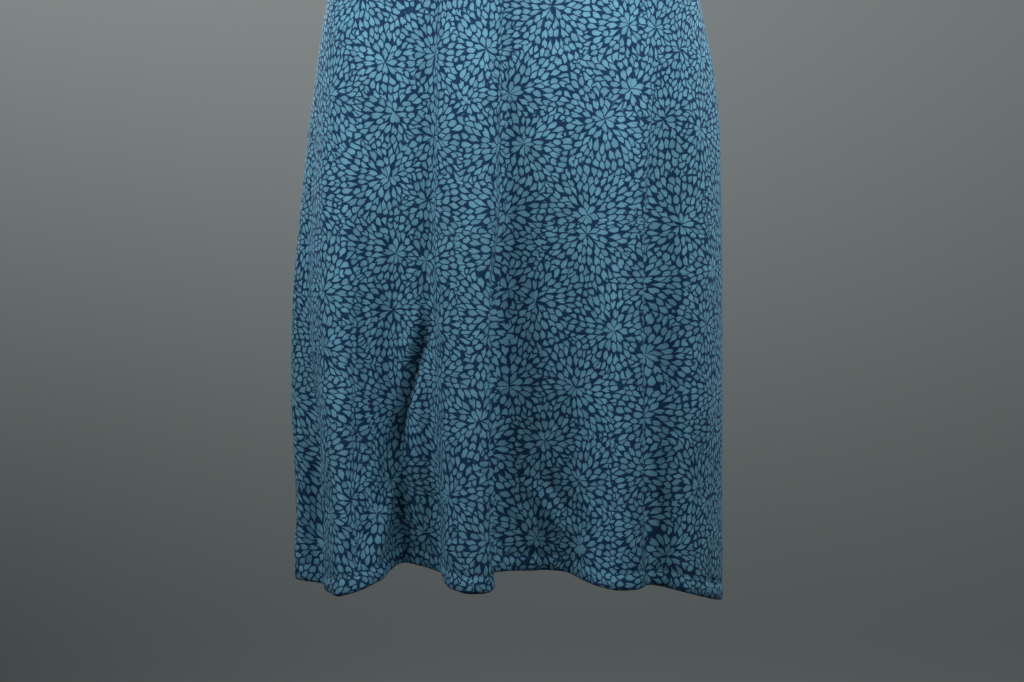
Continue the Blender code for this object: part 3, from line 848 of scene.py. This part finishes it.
# --------------------------------------------- hem stitches
# A row of short thread stitches holds each turned-up hem, 15 mm above its edge.
# The thread is navy polyester, pulled a little into the soft cloth.

THREAD = 0.00042
HEM_PITCH = 0.0032
STITCH_ENDS = (0.14, 0.86)
THREAD_NAVY, THREAD_HIGHLIGHT = (0.012, 0.030, 0.062, 1.0), (0.030, 0.062, 0.105, 1.0)


def thread_material():
    material, pen, surface = new_finish("navy thread")
    twist = pen.clouds(pen.node("TexCoord", {})["Object"], scale=1400.0, detail=2.0)["Fac"]
    pen.feed(surface["Base Color"], pen.mixed(twist, THREAD_NAVY, THREAD_HIGHLIGHT))
    pen.feed(surface["Normal"], pen.relief(twist, strength=0.4, depth=0.0001))
    surface["Roughness"].default_value = 0.55
    return material


thread = thread_material()


def stitches(name, points, normals, pitch, lift):
    """Stitches lying end to end along a line on the cloth, lifted onto its face."""
    along = run_along(points)

    def read(values, at):
        return Vector([np.interp(at, along, column) for column in values.T])

    bm = bmesh.new()
    count = int(along[-1] / pitch)
    for i in range(count):
        ends = along[-1] * (i + np.array(STITCH_ENDS)) / count
        start, end = (read(points, at) for at in ends)
        up = read(normals, ends.mean())
        run = end - start
        turn = run.to_track_quat("Z", "Y").to_matrix().to_4x4()
        size = Matrix.Diagonal((THREAD / 2, THREAD / 2, run.length / 2, 1.0))
        place = Matrix.Translation((start + end) / 2 + up.normalized() * lift) @ turn @ size
        bmesh.ops.create_uvsphere(bm, u_segments=6, v_segments=5, radius=1.0, matrix=place)
    return made_piece(bm, name, [thread])


def hem_stitches(name, hem_line):
    """The row of stitches along a panel's hem, from side seam to side seam."""
    points, normals = (np.concatenate((left[::-1], right[1:])) for left, right in zip(*hem_line))
    piece = stitches(name, points, normals, HEM_PITCH, CLOTH_THICKNESS / 2)
    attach(piece, "root")
    return piece


front_hem_stitches = hem_stitches("front_hem_stitches", front_hem_line)
back_hem_stitches = hem_stitches("back_hem_stitches", back_hem_line)


# ------------------------------------------------- bindings
# The neck and both armholes are bound with a 20 mm strip of the same jersey,
# folded double over the raw edge and stitched down beside the panel.

BINDING_WIDTH = 0.010
BINDING_CLOTH = 0.0007
BINDING_PITCH = 0.0028
SEAM_ROW, FACE_ROW = 2, 4

# The strip's section, from the panel up its face, over the fold and down inside:
# distance in from the opening's edge, and out from the middle of the cloth
FoldedStrip = namedtuple("FoldedStrip", "inset out")
BINDING_SECTION = (
    FoldedStrip(-0.0014, 0.00085),
    FoldedStrip(-0.0006, 0.00112),
    FoldedStrip(0.0006, 0.00088),
    FoldedStrip(0.0016, 0.00108),
    FoldedStrip(0.0040, 0.00132),
    FoldedStrip(0.0065, 0.00130),
    FoldedStrip(0.0085, 0.00108),
    FoldedStrip(0.0095, 0.00070),
    FoldedStrip(0.0099, 0.00000),
    FoldedStrip(0.0095, -0.00070),
    FoldedStrip(0.0085, -0.00102),
    FoldedStrip(0.0065, -0.00112),
    FoldedStrip(0.0040, -0.00112),
    FoldedStrip(0.0016, -0.00106),
    FoldedStrip(-0.0014, -0.00100),
)


def opening(edge, stretches, inset):
    """Points round an opening, at a distance in from its edge. A stretch of it has a face,
    a side, a first and a last angle, and its number of steps."""
    points = []
    for face, side, first, last, steps in stretches:
        angle = np.linspace(first, last, steps + 1)[:-1]
        share, down = edge(face, angle, inset)
        points.append(tube_points(face, share * side, down))
    points = np.concatenate(points)
    return np.concatenate((points, points[:1]))


def binding(name, edge, stretches, place):
    """A folded strip round an opening, with its row of stitches."""
    ring = opening(edge, stretches, 0.4 * BINDING_WIDTH)
    inner = opening(edge, stretches, 0.6 * BINDING_WIDTH)
    run = np.roll(ring[:-1], -1, axis=0) - np.roll(ring[:-1], 1, axis=0)
    out = np.cross(run, inner[:-1] - ring[:-1])
    out /= np.linalg.norm(out, axis=1, keepdims=True)
    out = np.concatenate((out, out[:1]))
    top = np.argmax(ring[:, 2])
    out *= np.sign(out[top, 2])
    points = np.stack([opening(edge, stretches, s.inset) + out * s.out for s in BINDING_SECTION])
    around, across = run_along(ring), run_along(BINDING_SECTION)
    flat = np.stack(np.broadcast_arrays(around[None, :], across[:, None]), axis=-1)
    bm = bmesh.new()
    cloth_grid(bm, points, flat, place)
    piece = finish_cloth(bm, name, (points[FACE_ROW, top], out[top]), BINDING_CLOTH)
    sewn = stitches(name + "_stitches", points[SEAM_ROW], out, BINDING_PITCH, BINDING_CLOTH / 2)
    for made in (piece, sewn):
        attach(made, "root")
    return piece


neck = binding(
    "neck_band",
    neck_edge,
    (
        (FRONT, -1, QUARTER, 0.0, 70),
        (FRONT, 1, 0.0, QUARTER, 70),
        (BACK, 1, QUARTER, 0.0, 44),
        (BACK, -1, 0.0, QUARTER, 44),
    ),
    (3.113, 0.207),
)
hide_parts("neck_binding")
for side, hand, place in ((-1, "left", (4.271, 0.611)), (1, "right", (5.037, 1.129))):
    round_the_arm = ((FRONT, side, QUARTER, 0.0, 90), (BACK, side, 0.0, QUARTER, 90))
    band = binding(f"armhole_band_{hand}", armhole_edge, round_the_arm, place)
    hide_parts(f"armhole_binding_{hand}")


# ------------------------------------------ floor and light
# A pale seamless floor curves up into a far wall all round, well clear of the
# dress. Two soft lights stand left and right above the front and two behind, and
# four more light the wall from above.

FLOOR = -1.42
FLOOR_RADIUS = 2.2
WALL_CURVE = 5.4
WALL_HEIGHT = 7.0
CURVE_STEPS = 16
FLOOR_STEPS = 128
PAPER_GREY = (0.525, 0.575, 0.568, 1.0)


def seamless_floor():
    profile = [(0.0, 0.0)]
    for turn in np.linspace(0.0, QUARTER, CURVE_STEPS + 1):
        profile.append((FLOOR_RADIUS + WALL_CURVE * math.sin(turn), WALL_CURVE * (1 - math.cos(turn))))
    profile.append((FLOOR_RADIUS + WALL_CURVE, WALL_HEIGHT))
    bm = bmesh.new()
    verts = [bm.verts.new((x, 0.0, FLOOR + up)) for x, up in profile]
    edges = [bm.edges.new(pair) for pair in zip(verts, verts[1:])]
    bmesh.ops.spin(
        bm, geom=verts + edges, cent=(0, 0, 0), axis=(0, 0, 1),
        angle=2 * math.pi, steps=FLOOR_STEPS, use_merge=True,
    )
    bmesh.ops.remove_doubles(bm, verts=bm.verts, dist=0.0001)
    bmesh.ops.recalc_face_normals(bm, faces=bm.faces)
    bmesh.ops.reverse_faces(bm, faces=bm.faces)
    paper, _, surface = new_finish("pale paper")
    surface["Base Color"].default_value = PAPER_GREY
    surface["Roughness"].default_value = 0.95
    surface["Specular IOR Level"].default_value = 0.1
    return made_piece(bm, "seamless_floor", [paper])


floor = seamless_floor()
floor.visible_shadow = False
floor.visible_diffuse = False


PANEL_LIGHT = (0.7, 0.5)
STRIP_LIGHT = (5.0, 0.8)
BESIDE_WALL, UP_THE_WALL = Vector((-0.9, 4.2, 3.0)), Vector((-0.3, 7.6, 1.2))
STUDIO_AIR = (0.90, 0.97, 1.0, 1.0)


def soft_light(name, place, aim, power, spread, size=PANEL_LIGHT):
    data = bpy.data.lights.new(name, "AREA")
    data.shape = "RECTANGLE"
    data.size, data.size_y = size
    data.energy = power
    data.spread = math.radians(spread)
    light = bpy.data.objects.new(name, data)
    light.visible_camera = False
    light.location = place
    light.rotation_euler = (Vector(aim) - light.location).to_track_quat("-Z", "Y").to_euler()
    bpy.context.scene.collection.objects.link(light)


soft_light("left light", (-0.97, -0.65, 0.22), (0.0, 0.0, -0.34), 7.1, 110.0)
soft_light("right light", (0.56, -0.67, 0.19), (0.0, 0.0, -0.36), 6.0, 110.0)
soft_light("back left light", (-0.58, 1.10, 0.3), (0.0, 0.0, -0.45), 12.0, 100.0)
soft_light("back right light", (0.90, 0.85, 0.3), (0.0, 0.0, -0.45), 6.0, 100.0)
for quarter, name in enumerate(("back", "left", "front", "right")):
    turn = Matrix.Rotation(quarter * QUARTER, 3, "Z")
    soft_light(f"{name} wall light", turn @ BESIDE_WALL, turn @ UP_THE_WALL, 57.0, 180.0, STRIP_LIGHT)
world = bpy.data.worlds.new("studio")
bpy.context.scene.world = world
world.use_nodes = True
air = world.node_tree.nodes["Background"].inputs
air["Color"].default_value = STUDIO_AIR
air["Strength"].default_value = 0.055
bpy.context.scene.view_settings.view_transform = "Standard"


# --------------------------------------------------- camera
# It looks level at the middle of the skirt, close enough to crop the dress at
# the hip, with a long lens.

CAMERA_DISTANCE = 2.1
CAMERA_HEIGHT = -0.778
camera = bpy.data.objects.new("camera", bpy.data.cameras.new("camera"))
camera.data.lens = 77.7
camera.data.sensor_width = 36.0
camera.data.dof.use_dof = False
camera.location = (0.0, -CAMERA_DISTANCE, CAMERA_HEIGHT)
camera.rotation_euler = (QUARTER, 0.0, 0.0)
bpy.context.scene.collection.objects.link(camera)
bpy.context.scene.camera = camera
